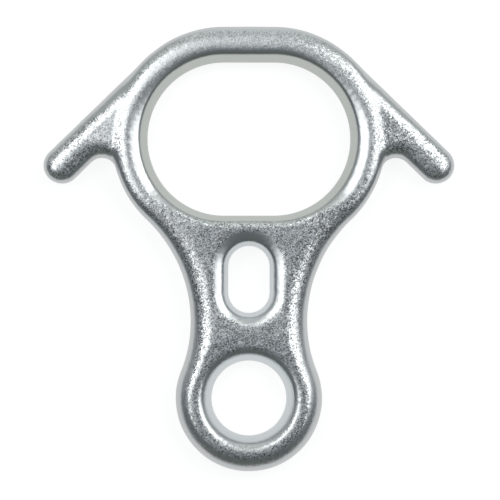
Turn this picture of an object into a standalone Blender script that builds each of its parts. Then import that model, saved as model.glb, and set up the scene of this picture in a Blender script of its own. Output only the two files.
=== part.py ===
# Figure eight descender with ears, a single aluminium drop forging.
# It lies flat on z = 0 with its large ring towards +Y and its thickness along +Z.
# The origin is the centre of its outline, on the face that it rests on.

import math

import bmesh
import bpy
from mathutils import Vector

# Driving sizes in metres
THICKNESS = 0.0140
FLASH_LAND = 0.0015
CROWN_FLAT = 0.0005

# Large rope opening, a stadium that is wider than it is long
OPENING_END_RADIUS = 0.0260
OPENING_STRAIGHT = 0.0169
OPENING_WALL_RUN = 0.0034
OPENING_LIP_RUN = 0.0035
OPENING_LIP_DROP = 0.0017
RING_BAND = 0.0120

# Small slot below it, a stadium along Y
SLOT_END_RADIUS = 0.0070
SLOT_STRAIGHT = 0.0087
SLOT_DROP = 0.0477

# Carabiner eye at the narrow end
EYE_RADIUS = 0.0127
EYE_BAND = 0.01215
EYE_DROP = 0.0880

# Edge of the slot and the eye
SMALL_WALL_RUN = 0.0022
SMALL_LIP_RUN = 0.0030
SMALL_LIP_DROP = 0.0024

# Neck between the two rings
WAIST_WIDTH = 0.0396
WAIST_DROP = 0.06205
NECK_EDGE_RUN = 0.0070
EDGE_BLEND_LENGTH = 0.0220

# Ears that reach back from the shoulders of the large ring
EAR_WIDTH = 0.0123
EAR_THICKNESS = 0.0124
EAR_LENGTH = 0.0459
EAR_ANGLE = math.radians(44.0)
NOTCH_RADIUS = 0.0051
NOTCH_THICKNESS = 0.0090
NOTCH_EDGE_RUN = 0.0050

# Fineness of the facets, and how far a cut runs past the faces
CUT_OVERSHOOT = 0.0010
CHORD_ERROR = 0.00005
EDGE_STEPS = 6
LIP_STEPS = 4
EDGE_POWER = 2.3

# Derived sizes, with the centre of the large opening as the drawing's datum
half_thickness = THICKNESS / 2
half_land = FLASH_LAND / 2
ring_radius = OPENING_END_RADIUS + RING_BAND
ring_offset = OPENING_STRAIGHT / 2
eye_outer_radius = EYE_RADIUS + EYE_BAND
half_waist = WAIST_WIDTH / 2
half_ear = EAR_WIDTH / 2
opening_edge_run = OPENING_WALL_RUN + OPENING_LIP_RUN
small_edge_run = SMALL_WALL_RUN + SMALL_LIP_RUN
ring_edge_run = max(RING_BAND - opening_edge_run - CROWN_FLAT, RING_BAND / 4)
eye_edge_run = max(min(NECK_EDGE_RUN, EYE_BAND - small_edge_run - CROWN_FLAT), EYE_BAND / 4)
datum = Vector((0.0, (EYE_DROP + eye_outer_radius - ring_radius) / 2, half_thickness))


def direction(angle):
    return Vector((math.cos(angle), math.sin(angle), 0.0))


def arc(centre, radius, start, end, hollow=False):
    """Points and outward normals along an arc; a hollow arc faces its own centre."""
    step = 2 * math.acos(1.0 - CHORD_ERROR / radius)
    count = max(2, math.ceil(abs(end - start) / step))
    angles = [start + (end - start) * index / count for index in range(count + 1)]
    side = -1.0 if hollow else 1.0
    return [(centre + direction(angle) * radius, direction(angle) * side) for angle in angles]


def without_repeats(loop):
    """The same closed loop with each point that meets the one before it left out."""
    return [pair for index, pair in enumerate(loop) if (pair[0] - loop[index - 1][0]).length > 0.00001]


def mirrored(loop):
    flip = Vector((-1.0, 1.0, 1.0))
    return [(point * flip, normal * flip) for point, normal in reversed(loop)]


def stadium(centre, radius, straight, along_x):
    """Two half circles joined by straight runs."""
    turn = 0.0 if along_x else math.pi / 2
    reach = direction(turn) * straight / 2
    far_end = arc(centre + reach, radius, turn - math.pi / 2, turn + math.pi / 2)
    near_end = arc(centre - reach, radius, turn + math.pi / 2, turn + math.pi * 3 / 2)
    return without_repeats(far_end + near_end)


def neck_radius(offset, drop, radius):
    """Radius of the hollow arc that leaves the waist upright and meets a circle smoothly."""
    side = half_waist - offset
    return (side * side + drop * drop - radius * radius) / (2 * (radius - side))


def body_outline():
    """Large ring, neck and small ring as tangent arcs, clockwise from the top."""
    ring_centre = Vector((ring_offset, 0.0, 0.0))
    eye_centre = Vector((0.0, -EYE_DROP, 0.0))
    upper_radius = neck_radius(ring_offset, WAIST_DROP, ring_radius)
    lower_radius = neck_radius(0.0, EYE_DROP - WAIST_DROP, eye_outer_radius)
    upper_centre = Vector((half_waist + upper_radius, -WAIST_DROP, 0.0))
    lower_centre = Vector((half_waist + lower_radius, -WAIST_DROP, 0.0))
    upper_angle = math.atan2(upper_centre.y, upper_centre.x - ring_offset)
    lower_angle = math.atan2(lower_centre.y - eye_centre.y, lower_centre.x)
    half = arc(ring_centre, ring_radius, math.pi / 2, upper_angle)
    half += arc(upper_centre, upper_radius, upper_angle + math.pi, math.pi, hollow=True)
    half += arc(lower_centre, lower_radius, math.pi, lower_angle + math.pi, hollow=True)
    half += arc(eye_centre, eye_outer_radius, lower_angle, -math.pi / 2)
    return without_repeats(half + mirrored(half))


def smooth_step(value):
    value = min(max(value, 0.0), 1.0)
    return value * value * (3.0 - 2.0 * value)


def body_edge_run(point):
    """Width of the rounded outer edge: tight on the large ring, broader on the neck and eye."""
    start = -ring_radius + EDGE_BLEND_LENGTH / 2
    share = smooth_step((start - point.y) / EDGE_BLEND_LENGTH)
    return ring_edge_run + (eye_edge_run - ring_edge_run) * share


def edge_profile(height):
    """Run and rise, from the flash land to the crown, of a rounded outer edge of unit run."""
    rows = []
    for index in range(EDGE_STEPS + 1):
        angle = math.pi / 2 * index / EDGE_STEPS
        run = 1.0 - math.cos(angle) ** (2 / EDGE_POWER)
        rise = math.sin(angle) ** (2 / EDGE_POWER)
        rows.append((run, half_land + (height - half_land) * rise))
    return rows


def hole_profile(wall_run, lip_run, lip_drop):
    """Run and rise of a hole's edge: flash land, drafted wall, then a lip that rounds on to the face."""
    rows = [(0.0, half_land)]
    for index in range(LIP_STEPS):
        share = index / LIP_STEPS
        rows.append((wall_run + lip_run * share, half_thickness - lip_drop * (1.0 - share) ** 2))
    last_run, last_rise = rows[-1]
    lip_end = wall_run + lip_run
    slope = (half_thickness - last_rise) / (lip_end - last_run)
    far_run = lip_end + lip_run / LIP_STEPS
    rows.append((far_run, half_thickness + slope * (far_run - lip_end)))
    rows.append((far_run, half_thickness + CUT_OVERSHOOT))
    return rows


def both_sides(profile):
    """The profile from the lower face, through the mid-plane, to the upper face."""
    return [(run, -rise) for run, rise in reversed(profile)] + profile


def new_material(name, color, metallic, roughness):
    material = bpy.data.materials.new(name)
    material.use_nodes = True
    shader = material.node_tree.nodes["Principled BSDF"]
    shader.inputs["Base Color"].default_value = color
    shader.inputs["Metallic"].default_value = metallic
    shader.inputs["Roughness"].default_value = roughness
    return material


def new_collection(name):
    collection = bpy.data.collections.new(name)
    bpy.context.scene.collection.children.link(collection)
    return collection


def loft(name, rings, collection):
    """A closed solid through rings of equally many points, capped at both ends."""
    mesh = bpy.data.meshes.new(name)
    bm = bmesh.new()
    edge_rings = []
    for ring in rings:
        verts = [bm.verts.new(point + datum) for point in ring]
        edge_rings.append([bm.edges.new((verts[index - 1], verts[index])) for index in range(len(verts))])
    for lower, upper in zip(edge_rings, edge_rings[1:]):
        bmesh.ops.bridge_loops(bm, edges=lower + upper)
    bmesh.ops.edgeloop_fill(bm, edges=edge_rings[0])
    bmesh.ops.edgeloop_fill(bm, edges=edge_rings[-1])
    bmesh.ops.recalc_face_normals(bm, faces=bm.faces)
    bm.to_mesh(mesh)
    bm.free()
    solid = bpy.data.objects.new(name, mesh)
    collection.objects.link(solid)
    return solid


def rounded_plate(name, outline, run_at, height, collection):
    """A plate whose outer edge rounds from the flash land to its two crowns."""
    rings = []
    for run, rise in both_sides(edge_profile(height)):
        rings.append([point - normal * run_at(point) * run + Vector((0, 0, rise)) for point, normal in outline])
    return loft(name, rings, collection)


def flared_cutter(name, outline, profile, collection):
    """A hole's inside, which widens from the mid-plane to both faces."""
    rings = []
    for run, rise in both_sides(profile):
        rings.append([point + normal * run + Vector((0, 0, rise)) for point, normal in outline])
    return loft(name, rings, collection)


def ear_line():
    """Root and tip centres of the right ear, whose upper edge runs on from the ring."""
    outward = direction(math.pi / 2 - EAR_ANGLE)
    root = Vector((ring_offset, 0.0, 0.0)) + outward * (ring_radius - half_ear)
    tip = root + direction(-EAR_ANGLE) * EAR_LENGTH
    return root, tip


def ear_outline():
    root, tip = ear_line()
    tip_end = arc(tip, half_ear, math.pi / 2 - EAR_ANGLE, -math.pi / 2 - EAR_ANGLE)
    root_end = arc(root, half_ear, -math.pi / 2 - EAR_ANGLE, -math.pi * 3 / 2 - EAR_ANGLE)
    return without_repeats(tip_end + root_end)


def notch_centre():
    """Centre of the fillet that touches the ring and the lower edge of the right ear."""
    root, tip = ear_line()
    ring_centre = Vector((ring_offset, 0.0, 0.0))
    downward = direction(-math.pi / 2 - EAR_ANGLE)
    base = root + downward * (half_ear + NOTCH_RADIUS) - ring_centre
    along = (tip - root).normalized()
    middle = base.dot(along)
    reach = ring_radius + NOTCH_RADIUS
    distance = -middle + math.sqrt(middle * middle - base.length_squared + reach * reach)
    return ring_centre + base + along * distance


def notch_web(name, collection):
    """The fillet in the corner under the right ear, rounded like the edges beside it."""
    centre = notch_centre()
    ring_centre = Vector((ring_offset, 0.0, 0.0))
    to_ring = (ring_centre - centre).normalized()
    to_ear = direction(math.pi / 2 - EAR_ANGLE)
    start = math.atan2(to_ring.y, to_ring.x)
    end = math.atan2(to_ear.y, to_ear.x)
    if start < end:
        start += math.pi * 2
    hollow_arc = arc(centre, NOTCH_RADIUS, start, end, hollow=True)
    half_turn = (start - end) / 2
    in_ear = centre + to_ear * (NOTCH_RADIUS + half_ear)
    in_corner = centre + direction(end + half_turn) * (NOTCH_RADIUS + half_ear) / math.cos(half_turn)
    in_ring = centre + to_ring * (NOTCH_RADIUS + RING_BAND / 2)
    rings = []
    for run, rise in both_sides(edge_profile(NOTCH_THICKNESS / 2)):
        lift = Vector((0, 0, rise))
        ring = [point - normal * NOTCH_EDGE_RUN * run + lift for point, normal in hollow_arc]
        rings.append(ring + [in_ear + lift, in_corner + lift, in_ring + lift])
    return loft(name, rings, collection)


def mirrored_copy(solid, name, collection):
    mesh = solid.data.copy()
    bm = bmesh.new()
    bm.from_mesh(mesh)
    bmesh.ops.scale(bm, vec=(-1.0, 1.0, 1.0), verts=bm.verts)
    bmesh.ops.reverse_faces(bm, faces=bm.faces)
    bm.to_mesh(mesh)
    bm.free()
    copy = bpy.data.objects.new(name, mesh)
    collection.objects.link(copy)
    return copy


def join(body, operand, operation):
    operand.hide_render = True
    operand.display_type = "WIRE"
    modifier = body.modifiers.new(operand.name, "BOOLEAN")
    modifier.operation = operation
    modifier.solver = "EXACT"
    modifier.object = operand


def forged_body(parts, cutters):
    """The whole forging: body blank and ears joined, then the three holes pierced."""
    body = rounded_plate("forged_body", body_outline(), body_edge_run, half_thickness, parts)
    ear_run = half_ear - CROWN_FLAT / 2
    ear = rounded_plate("ear_right", ear_outline(), lambda point: ear_run, EAR_THICKNESS / 2, cutters)
    web = notch_web("notch_right", cutters)
    for solid in (ear, web):
        join(body, solid, "UNION")
        join(body, mirrored_copy(solid, solid.name.replace("right", "left"), cutters), "UNION")

    opening_edge = hole_profile(OPENING_WALL_RUN, OPENING_LIP_RUN, OPENING_LIP_DROP)
    small_edge = hole_profile(SMALL_WALL_RUN, SMALL_LIP_RUN, SMALL_LIP_DROP)
    opening_outline = stadium(Vector((0, 0, 0)), OPENING_END_RADIUS, OPENING_STRAIGHT, along_x=True)
    slot_outline = stadium(Vector((0, -SLOT_DROP, 0)), SLOT_END_RADIUS, SLOT_STRAIGHT, along_x=False)
    eye_outline = without_repeats(arc(Vector((0, -EYE_DROP, 0)), EYE_RADIUS, 0.0, math.pi * 2))
    join(body, flared_cutter("rope_opening", opening_outline, opening_edge, cutters), "DIFFERENCE")
    join(body, flared_cutter("slot", slot_outline, small_edge, cutters), "DIFFERENCE")
    join(body, flared_cutter("carabiner_eye", eye_outline, small_edge, cutters), "DIFFERENCE")
    body.data.materials.append(new_material("forged_aluminium", (0.60, 0.61, 0.63, 1.0), 1.0, 0.38))
    body.data.shade_smooth()
    body.data.set_sharp_from_angle(angle=math.radians(40.0))
    return body


def main():
    for item in list(bpy.data.objects):
        bpy.data.objects.remove(item, do_unlink=True)
    parts = new_collection("figure_eight_descender")
    cutters = new_collection("cutters")
    forged_body(parts, cutters)


main()
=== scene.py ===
import math

import bmesh
import bpy
import numpy as np
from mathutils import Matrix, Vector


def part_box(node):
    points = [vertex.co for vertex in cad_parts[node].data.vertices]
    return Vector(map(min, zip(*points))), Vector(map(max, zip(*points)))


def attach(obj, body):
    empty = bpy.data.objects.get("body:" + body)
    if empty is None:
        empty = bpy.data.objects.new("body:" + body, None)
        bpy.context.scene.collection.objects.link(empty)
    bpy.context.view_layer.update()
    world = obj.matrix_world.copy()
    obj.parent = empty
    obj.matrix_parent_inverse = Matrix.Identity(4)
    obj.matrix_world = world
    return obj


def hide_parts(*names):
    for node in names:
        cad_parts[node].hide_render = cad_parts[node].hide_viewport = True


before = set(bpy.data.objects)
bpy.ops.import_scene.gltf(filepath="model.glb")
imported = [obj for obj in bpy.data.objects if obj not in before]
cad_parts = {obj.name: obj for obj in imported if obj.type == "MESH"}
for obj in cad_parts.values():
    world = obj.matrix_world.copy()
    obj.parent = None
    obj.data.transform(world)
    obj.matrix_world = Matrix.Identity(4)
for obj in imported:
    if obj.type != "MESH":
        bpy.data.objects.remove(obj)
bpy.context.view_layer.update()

mm = 0.001

# The forging

forging = {
    "grain": 0.55 * mm,                      # edge length of the finished mesh
    "mergeDistance": 0.001 * mm,
    "probe": 0.02 * mm,                      # step by which a slope is measured
    "settleRounds": 5,
    "longestMove": 1.0 * mm,
    "leastSteepness": 0.05,
    "landHeight": 1.5 * mm,                  # trimmed flash along the parting line
    "landFades": (0.7 * mm, 1.0 * mm),       # its finish ends between these heights
    "ringBar": 12.0 * mm,
    "openingEndRadius": 26.0 * mm,
    "openingStraight": 16.9 * mm,
    "slotEndRadius": 7.0 * mm,
    "slotStraight": 8.7 * mm,
    "slotDrop": 47.7 * mm,                   # how far its centre lies below the opening's
    "eyeRadius": 12.7 * mm,
    "eyeDrop": 88.0 * mm,
    "openingEdge": (2.4 * mm, 8.0 * mm, 1.50 * mm),   # wall run, lip run, lip drop
    "slotEdge": (1.5 * mm, 7.0 * mm, 1.52 * mm),
    "eyeEdge": (2.2 * mm, 4.2 * mm, 1.60 * mm),
    "webLip": (0.6 * mm, 0.55, 0.95),        # narrower lip run by the flat web, from and to this facing
    "topLip": (4.4 * mm, 0.15, 0.8),         # along the top bar
    "slotFootLip": (5.6 * mm, 0.6, 1.0),     # and at the slot's lower end
    "lipSpread": 0.75,                       # the wide opening's width is scaled by this to tell the facing
    "lipPower": 2.38,
    "wallBlend": 0.35 * mm,                  # between a drafted wall and the land
    "lipBlend": 0.50 * mm,                   # between a wall and its lip
    "crownBlend": 0.59 * mm,                 # between a hole's edge and the rest
    "wallFades": 0.1 * mm,                   # the wall's finish ends this close to the lip
    "wallReach": 0.4 * mm,                   # and reaches this far into the metal
    "waistWidth": 39.6 * mm,
    "waistDrop": 62.05 * mm,
    "ringRounding": (11.3 * mm, 3.82),       # how far the outer edge is rounded inwards, and how full
    "neckRounding": (10.2 * mm, 2.17),
    "eyeRounding": (6.6 * mm, 1.91),
    "neckStarts": (10 * mm, 42 * mm),
    "neckEnds": (48 * mm, 89 * mm),
    "earWidth": 12.3 * mm,
    "earThickness": (12.2 * mm, 10.8 * mm),  # at the ring, and from where the ear stands free
    "earThins": (20.0 * mm, 36.0 * mm),
    "earPower": 2.3,
    "earLength": 45.9 * mm,
    "earAngle": 44.0,
    "notchRadius": 5.1 * mm,
    "notchLean": 0.1,                        # the corner runs into the ring at this slope
    "notchReach": 2.0 * mm,
    "rootBlend": (0.2 * mm, 1.0 * mm),       # fillet between an ear and the ring, at the land and higher up
    "rootWidens": (0.15, 0.6),
    "unevenness": 0.03 * mm,
    "waves": (410.0, 1.3, 270.0, 530.0, 190.0),       # how many, how bent, along both ways
    "grainySlopes": (0.972, 0.994),          # the grain is strong on the flatter faces, 1 is level
    "levelSlopes": (0.990, 0.9992),          # painted glint speckle where they are all but level
    "faintSlopes": (0.72, 0.86),             # and faint down to these
    "faintGrain": 0.25,
    "satinEar": (16.0 * mm, 30.0 * mm),      # the ears and the eye are grainy on their slopes too
    "satinBand": (9.0 * mm, 12.0 * mm),      # across an ear, from its middle line
    # share of painted glint speckle on the slopes of the ears and the eye
    "satinPaintedGlints": 0.3,
    "ringStarts": (-26.0 * mm, -12.0 * mm),
    "ringPaintedGlints": 0.5,                       # the ring gets less painted glint speckle than the web
}

low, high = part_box("forged_body")
halfThickness = (high.z - low.z) / 2
midHeight = (high.z + low.z) / 2
halfLand = forging["landHeight"] / 2
ringRadius = forging["openingEndRadius"] + forging["ringBar"]
ringOffset = forging["openingStraight"] / 2
openingY = high.y - ringRadius
eyeOuterRadius = openingY - forging["eyeDrop"] - low.y
halfWaist = forging["waistWidth"] / 2
halfEar = forging["earWidth"] / 2
earAngle = math.radians(forging["earAngle"])


def between(first, second, share):
    return first + (second - first) * share


def smoothMin(a, b, width):
    share = np.clip(0.5 + 0.5 * (b - a) / width, 0.0, 1.0)
    return between(b, a, share) - width * share * (1.0 - share)


def smoothMax(a, b, width):
    return -smoothMin(-a, -b, width)


def smoothStep(start, end, value):
    share = np.clip((value - start) / (end - start), 0.0, 1.0)
    return share * share * (3.0 - 2.0 * share)


def neckArc(offset, drop, radius):               # hollow arc, upright at the waist, that touches a ring
    side = halfWaist - offset
    return (side * side + drop * drop - radius * radius) / (2 * (radius - side))


def outlineDepth(x, y):                          # how far a point lies inside the outline of rings and neck
    waistY = -forging["waistDrop"]
    eyeY = -forging["eyeDrop"]
    upperRadius = neckArc(ringOffset, waistY, ringRadius)
    lowerRadius = neckArc(0.0, eyeY - waistY, eyeOuterRadius)
    upperX = halfWaist + upperRadius
    lowerX = halfWaist + lowerRadius
    ring = ringRadius - np.hypot(np.maximum(x - ringOffset, 0.0), y)
    upper = np.hypot(x - upperX, y - waistY) - upperRadius
    lower = np.hypot(x - lowerX, y - waistY) - lowerRadius
    eye = eyeOuterRadius - np.hypot(x, y - eyeY)
    onRing = (upperX - ringOffset) * y - waistY * (x - ringOffset) >= 0
    onEye = lowerX * (y - eyeY) - (waistY - eyeY) * x <= 0
    depth = np.where(y > waistY, upper, lower)
    depth = np.where(onRing, ring, depth)
    return np.where(onEye, eye, depth)


def roundedEdge(depth, height, run, halfHeight, power):       # above 0 inside a plate with rounded edges
    across = np.clip(1.0 - depth / run, 0.0, None)
    upward = np.clip(height - halfLand, 0.0, None) / (halfHeight - halfLand)
    return (1.0 - (across ** power + upward ** power) ** (1.0 / power)) * run


def holeEdge(distance, height, wallRun, lipRun, lipDrop):     # drafted wall, and the lip above it
    lipDrop = lipDrop * lipRun / np.max(lipRun)
    rise = halfThickness - lipDrop - halfLand
    length = np.hypot(wallRun, rise)
    wall = (distance * rise - (height - halfLand) * wallRun) / length
    wall = smoothMin(wall, distance, forging["wallBlend"])
    before = 1.0 - (distance - wallRun) / lipRun
    power = forging["lipPower"]
    lip = halfThickness - lipDrop * np.sign(before) * np.abs(before) ** power - height
    slope = power * lipDrop / lipRun * np.abs(before) ** (power - 1.0)
    return wall, lip / np.sqrt(1.0 + slope ** 2)


def earPlace(x, y):                              # along and across the ear's middle line
    rootX = ringOffset + (ringRadius - halfEar) * math.sin(earAngle)
    rootY = (ringRadius - halfEar) * math.cos(earAngle)
    along = (x - rootX) * math.cos(earAngle) - (y - rootY) * math.sin(earAngle)
    below = -(x - rootX) * math.sin(earAngle) - (y - rootY) * math.cos(earAngle)
    return along, below


def earDepth(x, y, ringDepth):                   # inside the ear's outline, with the fillet under it
    along, below = earPlace(x, y)
    depth = halfEar - np.hypot(along - np.clip(along, 0.0, forging["earLength"]), below)
    fillet = forging["notchRadius"]
    ringAlong, ringBelow = earPlace(np.array(ringOffset), np.array(0.0))
    centreBelow = halfEar + fillet
    centreAlong = ringAlong + math.sqrt((ringRadius + fillet) ** 2 - (ringBelow - centreBelow) ** 2)
    towardsRing = np.array((ringAlong - centreAlong, ringBelow - centreBelow)) / (ringRadius + fillet)
    pastRing = (along - centreAlong) * towardsRing[1] - (below - centreBelow) * towardsRing[0]
    lower = np.hypot(along - centreAlong, below - centreBelow) - fillet
    lower = np.where(pastRing > 0, ringDepth - forging["notchLean"] * pastRing, lower)
    corner = np.minimum(np.minimum(lower, below + halfEar), along + forging["notchReach"])
    return np.where(along < centreAlong, np.maximum(depth, corner), depth)


def unevenness(x, y):                            # slow waves that tumbling leaves
    across, bend, bendAlong, along, slant = forging["waves"]
    wave = np.sin(x * across + bend * np.sin(y * bendAlong)) + np.sin(y * along + x * slant)
    return forging["unevenness"] * wave / 2


def blankDepth(points, x, y, height):            # inside the forging before its holes are pierced
    depth = outlineDepth(x, y)
    onNeck = smoothStep(*forging["neckStarts"], -y)
    onEye = smoothStep(*forging["neckEnds"], -y)
    ring, neck, eye = (np.array(forging[name]) for name in ("ringRounding", "neckRounding", "eyeRounding"))
    run, power = (ring[i] + (neck[i] - ring[i]) * onNeck + (eye[i] - neck[i]) * onEye for i in range(2))
    body = roundedEdge(depth, height, run, halfThickness, power)

    halfHeight = between(*forging["earThickness"], smoothStep(*forging["earThins"], earPlace(x, y)[0])) / 2
    ear = roundedEdge(earDepth(x, y, depth), height, halfEar, halfHeight, forging["earPower"])
    rootWidth = between(*forging["rootBlend"], smoothStep(*forging["rootWidens"], height / halfThickness))
    return smoothMax(body, ear, rootWidth) + unevenness(points[:, 0], points[:, 1])


def narrowedLip(run, lip, direction):            # the lip run where the edge faces this way, 1 is straight on
    narrowRun, start, end = lip
    return between(run, narrowRun, smoothStep(start, end, direction))


def forgedSurface(points):                       # signed distance into the metal, with the hole walls apart
    x = np.abs(points[:, 0])
    y = points[:, 1] - openingY
    height = np.abs(points[:, 2] - midHeight)
    metal = blankDepth(points, x, y, height)

    slotHalf = forging["slotStraight"] / 2
    slotY = y + forging["slotDrop"]
    openingDistance = np.hypot(np.maximum(x - ringOffset, 0.0), y) - forging["openingEndRadius"]
    slotDistance = np.hypot(x, np.maximum(np.abs(slotY) - slotHalf, 0.0)) - forging["slotEndRadius"]
    eyeDistance = np.hypot(x, y + forging["eyeDrop"]) - forging["eyeRadius"]
    wallRun, lipRun, lipDrop = forging["openingEdge"]
    upwards = y / np.hypot(x * forging["lipSpread"], y)
    lipRun = narrowedLip(lipRun, forging["webLip"], -upwards)
    lipRun = narrowedLip(lipRun, forging["topLip"], upwards)
    slotRun, slotLip, slotLipDrop = forging["slotEdge"]
    slotLip = narrowedLip(slotLip, forging["slotFootLip"], -slotY / np.hypot(x, slotY))
    walls = []
    for distance, edge in (
        (openingDistance, (wallRun, lipRun, lipDrop)),
        (slotDistance, (slotRun, slotLip, slotLipDrop)),
        (eyeDistance, forging["eyeEdge"]),
    ):
        wall, lip = holeEdge(distance, height, *edge)
        metal = smoothMin(metal, smoothMin(wall, lip, forging["lipBlend"]), forging["crownBlend"])
        fade = forging["wallFades"]
        walls.append(smoothStep(-fade, fade, lip - wall) * (wall < forging["wallReach"]))
    land = (1.0 - smoothStep(*forging["landFades"], height)) * (1.0 - np.maximum.reduce(walls))
    return metal, walls[0], np.maximum(walls[1], walls[2]), land


def slopeAlong(points, axis):                    # how the depth into the metal grows along X, Y or Z
    shift = np.zeros(3)
    shift[axis] = forging["probe"]
    return (forgedSurface(points + shift)[0] - forgedSurface(points - shift)[0]) / (2 * forging["probe"])


def settleOnSurface(points):                     # moves each point to the forged surface along its slope
    longest = forging["longestMove"]
    for settleRound in range(forging["settleRounds"]):
        depth = forgedSurface(points)[0]
        slope = np.stack([slopeAlong(points, axis) for axis in range(3)], axis=1)
        steepness = np.maximum((slope ** 2).sum(axis=1), forging["leastSteepness"])
        points = points - slope * np.clip(depth / steepness, -longest, longest)[:, None]
    return points


def finishMasks(points):                         # where each finish lies, from 0 to 1 at every point
    depth, ropeWall, smallWall, land = forgedSurface(points)
    level = np.abs(slopeAlong(points, 2))
    y = points[:, 1] - openingY
    along, below = earPlace(np.abs(points[:, 0]), y)
    onEar = smoothStep(*forging["satinEar"], along) * (1.0 - smoothStep(*forging["satinBand"], below))
    onEye = smoothStep(*forging["neckEnds"], -y)
    onRing = smoothStep(*forging["ringStarts"], y) * (1.0 - onEar)
    satin = np.maximum(onEar, onEye)
    onSlope = smoothStep(*forging["faintSlopes"], level)
    faint = onSlope * np.maximum(forging["faintGrain"], satin)
    grainy = np.maximum(smoothStep(*forging["grainySlopes"], level), faint)
    # painted glints: where a speckle in the base colour stands in for the sparkle of tilted facets
    paintedGlints = np.maximum(smoothStep(*forging["levelSlopes"], level), forging["satinPaintedGlints"] * satin * onSlope)
    paintedGlints = paintedGlints * between(1.0, forging["ringPaintedGlints"], onRing)
    print("forging: worst miss", round(float(np.abs(depth).max()) / mm, 4), "mm")
    return {"ropeWall": ropeWall, "smallWall": smallWall, "land": land, "grainy": grainy, "paintedGlints": paintedGlints}


def evenCopy(source, name):                      # the CAD node's shape again, in an even grid of faces
    mesh = bpy.data.meshes.new(name)
    bm = bmesh.new()
    bm.from_mesh(source.data)
    bmesh.ops.remove_doubles(bm, verts=bm.verts, dist=forging["mergeDistance"])
    bm.to_mesh(mesh)
    bm.free()
    piece = bpy.data.objects.new(name, mesh)
    bpy.context.scene.collection.objects.link(piece)
    remesh = piece.modifiers.new("even grid", "REMESH")
    remesh.mode = "VOXEL"
    remesh.voxel_size = forging["grain"]
    evaluated = piece.evaluated_get(bpy.context.evaluated_depsgraph_get())
    finished = bpy.data.meshes.new_from_object(evaluated)
    piece.modifiers.clear()
    piece.data = finished
    bpy.data.meshes.remove(mesh)
    finished.name = name
    return piece


def makeForging():
    piece = evenCopy(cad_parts["forged_body"], "descender_forging")
    mesh = piece.data
    points = np.zeros(len(mesh.vertices) * 3)
    mesh.vertices.foreach_get("co", points)
    points = np.clip(settleOnSurface(points.reshape(-1, 3)), np.array(low), np.array(high))
    mesh.vertices.foreach_set("co", points.ravel())
    for name, values in finishMasks(points).items():
        layer = mesh.attributes.new(name, "FLOAT", "POINT")
        layer.data.foreach_set("value", values.astype(np.float32))
    mesh.materials.clear()
    mesh.shade_smooth()
    print("forging:", len(mesh.polygons), "faces")
    return piece


# Materials


class Wire:                                      # a socket that takes part in sums
    def __init__(self, graph, socket):
        self.graph = graph
        self.socket = socket

    def __add__(self, other):
        return self.graph.sum("ADD", self, other)

    def __sub__(self, other):
        return self.graph.sum("SUBTRACT", self, other)

    def __rsub__(self, other):
        return self.graph.sum("SUBTRACT", other, self)

    def __mul__(self, other):
        return self.graph.sum("MULTIPLY", self, other)

    __radd__ = __add__
    __rmul__ = __mul__


class Graph:
    def __init__(self, tree):
        self.tree = tree

    def node(self, kind, settings=None, inputs=None, output=0):
        made = self.tree.nodes.new(kind)
        for name, value in (settings or {}).items():
            setattr(made, name, value)
        for name, value in (inputs or {}).items():
            self.connect(made.inputs[name], value)
        return Wire(self, made.outputs[output])

    def connect(self, socket, value):
        if isinstance(value, Wire):
            self.tree.links.new(value.socket, socket)
        elif socket.type == "VECTOR" and isinstance(value, float):
            socket.default_value = (value, value, value)
        else:
            socket.default_value = value

    def sum(self, operation, first, second):         # vectors and colours go through Vector Math
        kinds = {wire.socket.type for wire in (first, second) if isinstance(wire, Wire)}
        kind = "ShaderNodeMath" if kinds == {"VALUE"} else "ShaderNodeVectorMath"
        return self.node(kind, {"operation": operation}, {0: first, 1: second})

    def mix(self, share, first, second):
        inputs = {"Factor": share, "A": first, "B": second}
        return self.node("ShaderNodeMix", {"data_type": "RGBA"}, inputs, "Result")

    def attribute(self, name):
        return self.node("ShaderNodeAttribute", {"attribute_name": name}, output="Fac")


finish = {
    "forgedColor": (0.61, 0.63, 0.63, 1.0),
    "ropeWallColor": (0.56, 0.59, 0.565, 1.0),
    "smallWallColor": (0.71, 0.75, 0.76, 1.0),
    "landColor": (0.62, 0.63, 0.61, 1.0),
    "forgedRoughness": 0.29,
    "grainRoughness": 0.31,
    "wallRoughness": 0.34,
    "landRoughness": 0.45,
    "grainScale": 2900.0,             # cells of grain, about 0.34 mm across, that lean and also carry the painted glint speckle
    "grainTilt": 0.10,                # how far they lean
    "paintedGlintStrength": 1.55,               # how far the painted glint brightness of the cells differs
    "dimpleScale": 700.0,
    "dimpleHeight": 0.04 * mm,
}


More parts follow.
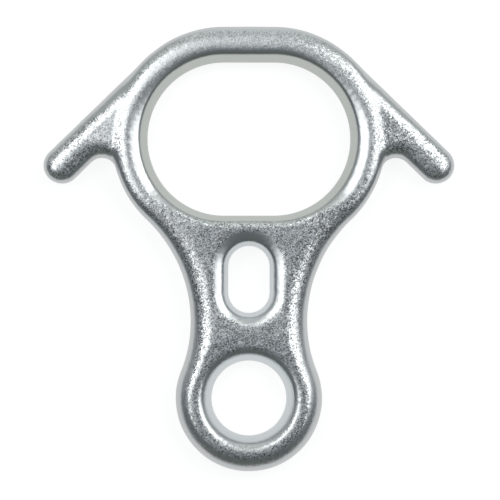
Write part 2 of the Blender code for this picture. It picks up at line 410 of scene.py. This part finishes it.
def forgedAluminium():
    material = bpy.data.materials.new("forgedAluminium")
    material.use_nodes = True
    graph = Graph(material.node_tree)
    shader = material.node_tree.nodes["Principled BSDF"]
    shader.inputs["Metallic"].default_value = 1.0
    place = graph.node("ShaderNodeTexCoord", output="Object")
    names = ("ropeWall", "smallWall", "land", "grainy", "paintedGlints")
    ropeWall, smallWall, land, grainy, paintedGlints = map(graph.attribute, names)
    wall = ropeWall + smallWall
    forged = 1.0 - wall

    noise = {"Vector": place, "Scale": finish["dimpleScale"], "Detail": 0.0}
    dimple = graph.node("ShaderNodeTexNoise", inputs=noise)
    bump = graph.node("ShaderNodeBump", inputs={"Height": dimple * finish["dimpleHeight"], "Distance": 1.0})
    cells = {"Vector": place, "Scale": finish["grainScale"]}
    cell = graph.node("ShaderNodeTexVoronoi", inputs=cells, output="Color")
    tilt = (cell - 0.5) * (forged * grainy * finish["grainTilt"])
    facing = graph.node("ShaderNodeVectorMath", {"operation": "NORMALIZE"}, {0: bump + tilt})
    graph.connect(shader.inputs["Normal"], facing)

    bright = graph.mix(ropeWall, finish["forgedColor"], finish["ropeWallColor"])
    bright = graph.mix(smallWall, bright, finish["smallWallColor"])
    bright = graph.mix(land, bright, finish["landColor"])
    # painted glints: bright and dark cells in the base colour stand in for the sparkle of tilted facets
    glintSpeckle = graph.node("ShaderNodeSeparateColor", inputs={0: cell}) - 0.5
    graph.connect(shader.inputs["Base Color"], bright * (glintSpeckle * paintedGlints * finish["paintedGlintStrength"] + 1.0))
    roughness = grainy * (finish["grainRoughness"] - finish["forgedRoughness"]) + finish["forgedRoughness"]
    roughness = wall * (finish["wallRoughness"] - finish["grainRoughness"]) + roughness
    roughness = land * (finish["landRoughness"] - finish["forgedRoughness"]) + roughness
    graph.connect(shader.inputs["Roughness"], roughness)
    print("finish:", len(material.node_tree.nodes), "nodes")
    return material


# Studio

studio = {
    "floorReach": 3.0,
    "floorColor": (0.25, 0.25, 0.25, 1.0),
    "floorRoughness": 0.9,
    "floorGlow": 0.86,                # what the floor gives by itself, seen directly
    "floorShine": 0.68,               # the same in a reflection
    "softboxes": (                    # place, turn in degrees, length, width, radiance
        ((-0.431, 0.064, 0.820), 238, 0.76, 0.41, 1.35),      # two that overlap are at different heights,
        ((-0.372, 0.158, 0.790), 238, 0.54, 0.41, 1.15),      # so that both are seen in reflections
        ((0.708, 0.249, 0.766), 129, 0.81, 0.86, 2.10),
    ),
    "sky": (                          # share of the way from -Y to +Y, and the colour there
        (0.020, (0.135, 0.150, 0.140)),
        (0.400, (0.125, 0.142, 0.160)),
        (0.455, (0.140, 0.162, 0.190)),
        (0.500, (0.225, 0.250, 0.295)),
        (0.570, (0.300, 0.320, 0.340)),
        (0.750, (0.560, 0.590, 0.590)),
        (0.980, (0.840, 0.880, 0.880)),
    ),
    "cornerShade": 0.75,              # how much darker the sky is between the sides and +Y
    "sensorWidth": 36.0,
    "nearest": 0.01,
    "cameraDistance": 0.775,
    "frameWidth": 0.1700,             # what the picture's width spans at the parting line
    "lookAt": (0.00037, -0.00029),
}


def softbox(name, place, turn, length, width, radiance):
    data = bpy.data.lights.new(name, "AREA")
    data.shape = "RECTANGLE"
    data.size = length
    data.size_y = width
    data.energy = radiance * math.pi * length * width
    light = bpy.data.objects.new(name, data)
    light.rotation_euler = (0.0, 0.0, math.radians(turn))
    light.location = place
    light.visible_camera = False
    bpy.context.scene.collection.objects.link(light)


def makeFloor():
    mesh = bpy.data.meshes.new("studio_floor")
    bm = bmesh.new()
    bmesh.ops.create_grid(bm, x_segments=1, y_segments=1, size=studio["floorReach"])
    bm.to_mesh(mesh)
    bm.free()
    floor = bpy.data.objects.new("studio_floor", mesh)
    bpy.context.scene.collection.objects.link(floor)
    material = bpy.data.materials.new("studioFloor")
    material.use_nodes = True
    graph = Graph(material.node_tree)
    shader = material.node_tree.nodes["Principled BSDF"]
    shader.inputs["Roughness"].default_value = studio["floorRoughness"]
    shader.inputs["Specular IOR Level"].default_value = 0.0
    shader.inputs["Base Color"].default_value = studio["floorColor"]
    shader.inputs["Emission Color"].default_value = (1.0, 1.0, 1.0, 1.0)
    seen = graph.node("ShaderNodeLightPath", output="Is Camera Ray")
    mirrored = graph.node("ShaderNodeLightPath", output="Is Glossy Ray")
    glow = seen * studio["floorGlow"] + mirrored * studio["floorShine"]
    graph.connect(shader.inputs["Emission Strength"], glow)
    mesh.materials.append(material)


def makeSky():
    world = bpy.data.worlds.new("studio")
    world.use_nodes = True
    graph = Graph(world.node_tree)
    background = world.node_tree.nodes["Background"]
    towards = graph.node("ShaderNodeTexCoord", output="Generated")
    aside, ahead = (graph.node("ShaderNodeSeparateXYZ", inputs={0: towards}, output=axis) for axis in "XY")
    ramp = graph.node("ShaderNodeValToRGB", inputs={0: ahead * 0.5 + 0.5})
    stops = ramp.socket.node.color_ramp.elements
    for index, (position, color) in enumerate(studio["sky"]):
        stop = stops[index] if index < 2 else stops.new(position)
        stop.position = position
        stop.color = (*color, 1.0)
    sideways = graph.node("ShaderNodeMath", {"operation": "ABSOLUTE"}, {0: aside})
    backwards = graph.node("ShaderNodeMath", {"operation": "MAXIMUM"}, {0: ahead, 1: 0.0})
    corners = sideways * backwards * studio["cornerShade"]
    graph.connect(background.inputs["Color"], ramp * (1.0 - corners))
    background.inputs["Strength"].default_value = 1.0
    bpy.context.scene.world = world


def makeCamera():
    data = bpy.data.cameras.new("camera")
    data.sensor_width = studio["sensorWidth"]
    data.lens = data.sensor_width * studio["cameraDistance"] / studio["frameWidth"]
    data.clip_start = studio["nearest"]
    camera = bpy.data.objects.new("camera", data)
    camera.location = (*studio["lookAt"], midHeight + studio["cameraDistance"])
    bpy.context.scene.collection.objects.link(camera)
    bpy.context.scene.camera = camera
    bpy.context.scene.view_settings.view_transform = "Standard"


def makeStudio():
    makeFloor()
    for index, settings in enumerate(studio["softboxes"]):
        softbox(f"softbox_{index}", *settings)
    makeSky()
    makeCamera()
    print("studio: floor,", len(studio["softboxes"]), "softboxes, sky, camera")


makeStudio()
body = makeForging()
body.data.materials.append(forgedAluminium())
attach(body, "root")
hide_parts("forged_body")
